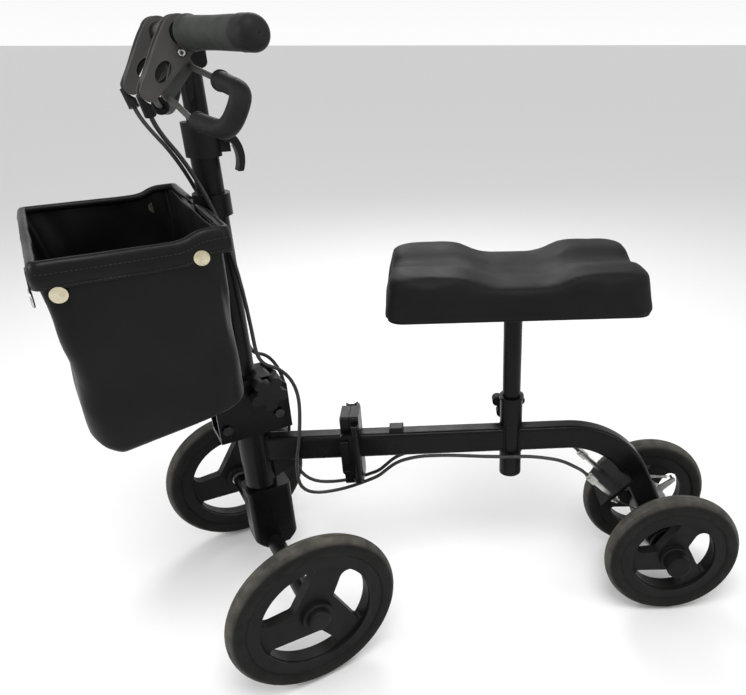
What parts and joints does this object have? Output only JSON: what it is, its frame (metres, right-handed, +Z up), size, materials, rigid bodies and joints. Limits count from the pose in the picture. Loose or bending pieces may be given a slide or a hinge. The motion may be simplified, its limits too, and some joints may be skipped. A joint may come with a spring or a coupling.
{
  "type": "knee scooter",
  "caption": "Folding knee scooter with a padded knee rest on a post, swept handlebar with loop brake levers, spoked wheels and a front bag.",
  "frame": {"origin": "On the floor under the middle of the whole scooter's footprint box, as it stands with its bars turned 28.7 degrees to the left.", "axes": "+X forward along the main beam, +Y to the rider's left, +Z up. The longest side of the box runs along X."},
  "size_m": [0.9458, 0.4538, 0.8155],
  "materials": {
    "frame_paint": "black satin powder coat",
    "black_plastic": "matte moulded black plastic",
    "tyre_rubber": "solid tyre rubber with a dusty tread",
    "grip_rubber": "soft grey-green grip rubber",
    "cap_rubber": "dark rubber",
    "housing_grey": "warm grey moulded plastic",
    "lever_metal": "grey-green coated rod",
    "zinc_steel": "zinc plated steel",
    "snap_brass": "aged brass",
    "bag_fabric": "black coated fabric",
    "pad_vinyl": "dark grey-black moulded vinyl skin",
    "cable_sheath": "black cable sheath"
  },
  "bodies": {
    "frame": {"rear_beam": "frame_paint", "post_sleeve": "frame_paint", "rear_axle_tube": "frame_paint", "rear_axle": "zinc_steel", "rear_bearings": "zinc_steel", "rear_hub_caps": "black_plastic", "brake_plates": "zinc_steel", "brake_springs": "zinc_steel", "hinge_plate_rear": "frame_paint", "hinge_pin": "zinc_steel", "beam_rest_block": "frame_paint", "cable_adjusters": "zinc_steel", "rear_cables": "cable_sheath"},
    "front_frame": {"front_beam": "frame_paint", "head_tube": "frame_paint", "head_bearings": "zinc_steel", "hinge_plate_front": "frame_paint", "cable_loops": "cable_sheath"},
    "latch": {"beam_latch": "frame_paint"},
    "steering": {"steerer": "zinc_steel", "fork_crown": "frame_paint", "crossbeam": "frame_paint", "front_axles": "zinc_steel", "front_bearings": "zinc_steel", "front_hub_caps": "black_plastic", "fold_bracket": "frame_paint", "fold_bolts": "zinc_steel"},
    "column": {"column_foot": "frame_paint", "column_tube": "frame_paint", "height_collar": "black_plastic", "bag": "bag_fabric", "bag_snaps": "snap_brass", "bag_frame": "frame_paint", "bag_bracket": "frame_paint", "lever_cables": "cable_sheath"},
    "fold_knob": {"fold_knob": "black_plastic"},
    "height_lever": {"height_lever": "black_plastic"},
    "stem": {"stem_tube": "frame_paint", "handlebar": "frame_paint", "grips": "grip_rubber", "grip_caps": "cap_rubber", "brake_housings": "housing_grey", "cable_ferrules": "black_plastic"},
    "lever_left": {"loop_lever_left": "lever_metal", "loop_rubber_left": "cap_rubber"},
    "lever_right": {"loop_lever_right": "lever_metal", "loop_rubber_right": "cap_rubber"},
    "wheel_front_left": {"rim_front_left": "black_plastic", "tyre_front_left": "tyre_rubber"},
    "wheel_front_right": {"rim_front_right": "black_plastic", "tyre_front_right": "tyre_rubber"},
    "wheel_rear_left": {"rim_rear_left": "black_plastic", "tyre_rear_left": "tyre_rubber"},
    "wheel_rear_right": {"rim_rear_right": "black_plastic", "tyre_rear_right": "tyre_rubber"},
    "brake_arm_left": {"brake_arm_left": "zinc_steel"},
    "brake_arm_right": {"brake_arm_right": "zinc_steel"},
    "pad": {"pad_post": "frame_paint", "knee_pad": "pad_vinyl"},
    "post_knob": {"post_knob": "black_plastic"}
  },
  "joints": [
    {"name": "beam_fold", "type": "hinge", "parent": "frame", "child": "front_frame", "pos_m": [0.09369, -0.028, 0.268], "axis": [0, 0, 1], "range_deg": [-85, 0], "deforming": ["cable_loops"]},
    {"name": "beam_latch_swing", "type": "hinge", "parent": "frame", "child": "latch", "pos_m": [0.08639, 0.028, 0.268], "axis": [0, 0, 1], "range_deg": [0, 100]},
    {"name": "steer", "type": "hinge", "parent": "front_frame", "child": "steering", "pos_m": [0.23169, 0, 0.256], "axis": [0, 0, 1], "range_deg": [-68.7, 11.3], "deforming": ["cable_loops"]},
    {"name": "column_fold", "type": "hinge", "parent": "steering", "child": "column", "pos_m": [0.20187, -0.01633, 0.328], "axis": [0.4802, -0.8771, 0], "range_deg": [0, 32], "deforming": ["cable_loops"]},
    {"name": "fold_knob_turn", "type": "hinge", "parent": "steering", "child": "fold_knob", "pos_m": [0.21415, -0.0096, 0.369], "axis": [-0.4802, 0.8771, 0], "range_deg": [0, 720]},
    {"name": "height_lever_swing", "type": "hinge", "parent": "column", "child": "height_lever", "pos_m": [0.20976, -0.01201, 0.692], "axis": [-0.4802, 0.8771, 0], "range_deg": [0, 120]},
    {"name": "stem_slide", "type": "slide", "parent": "column", "child": "stem", "axis": [0, 0, 1], "range_m": [-0.018, 0.08], "deforming": ["lever_cables"]},
    {"name": "lever_left_squeeze", "type": "hinge", "parent": "stem", "child": "lever_left", "pos_m": [0.22059, 0.05776, 0.7804], "axis": [-0.4802, 0.8771, 0], "range_deg": [0, 18], "stiffness_Nm_per_rad": 1.2, "springref_deg": -17.19},
    {"name": "lever_right_squeeze", "type": "hinge", "parent": "stem", "child": "lever_right", "pos_m": [0.27437, -0.04048, 0.7804], "axis": [-0.4802, 0.8771, 0], "range_deg": [0, 18], "stiffness_Nm_per_rad": 1.2, "springref_deg": -17.19},
    {"name": "wheel_front_left_spin", "type": "hinge", "parent": "steering", "child": "wheel_front_left", "pos_m": [0.14285, 0.16227, 0.1143], "axis": [-0.4802, 0.8771, 0], "continuous": true},
    {"name": "wheel_front_right_spin", "type": "hinge", "parent": "steering", "child": "wheel_front_right", "pos_m": [0.32053, -0.16227, 0.1143], "axis": [-0.4802, 0.8771, 0], "continuous": true},
    {"name": "wheel_rear_left_spin", "type": "hinge", "parent": "frame", "child": "wheel_rear_left", "pos_m": [-0.37131, 0.076, 0.1016], "axis": [0, 1, 0], "continuous": true},
    {"name": "wheel_rear_right_spin", "type": "hinge", "parent": "frame", "child": "wheel_rear_right", "pos_m": [-0.37131, -0.076, 0.1016], "axis": [0, 1, 0], "continuous": true},
    {"name": "brake_arm_left_pull", "type": "hinge", "parent": "frame", "child": "brake_arm_left", "pos_m": [-0.38531, 0.05, 0.1286], "axis": [0, 1, 0], "range_deg": [0, 15], "stiffness_Nm_per_rad": 0.8, "springref_deg": -17.19, "deforming": ["brake_springs", "rear_cables"]},
    {"name": "brake_arm_right_pull", "type": "hinge", "parent": "frame", "child": "brake_arm_right", "pos_m": [-0.38531, -0.05, 0.1286], "axis": [0, 1, 0], "range_deg": [0, 15], "stiffness_Nm_per_rad": 0.8, "springref_deg": -17.19, "deforming": ["brake_springs", "rear_cables"]},
    {"name": "pad_slide", "type": "slide", "parent": "frame", "child": "pad", "axis": [0, 0, 1], "range_m": [-0.1, 0.05]},
    {"name": "post_knob_turn", "type": "hinge", "parent": "frame", "child": "post_knob", "pos_m": [-0.13431, -0.026, 0.306], "axis": [0, 1, 0], "range_deg": [0, 720]}
  ],
  "couplings": [
    {"joint": "brake_arm_left_pull", "follows": "lever_left_squeeze", "ratio": 0.8},
    {"joint": "brake_arm_right_pull", "follows": "lever_right_squeeze", "ratio": 0.8}
  ]
}
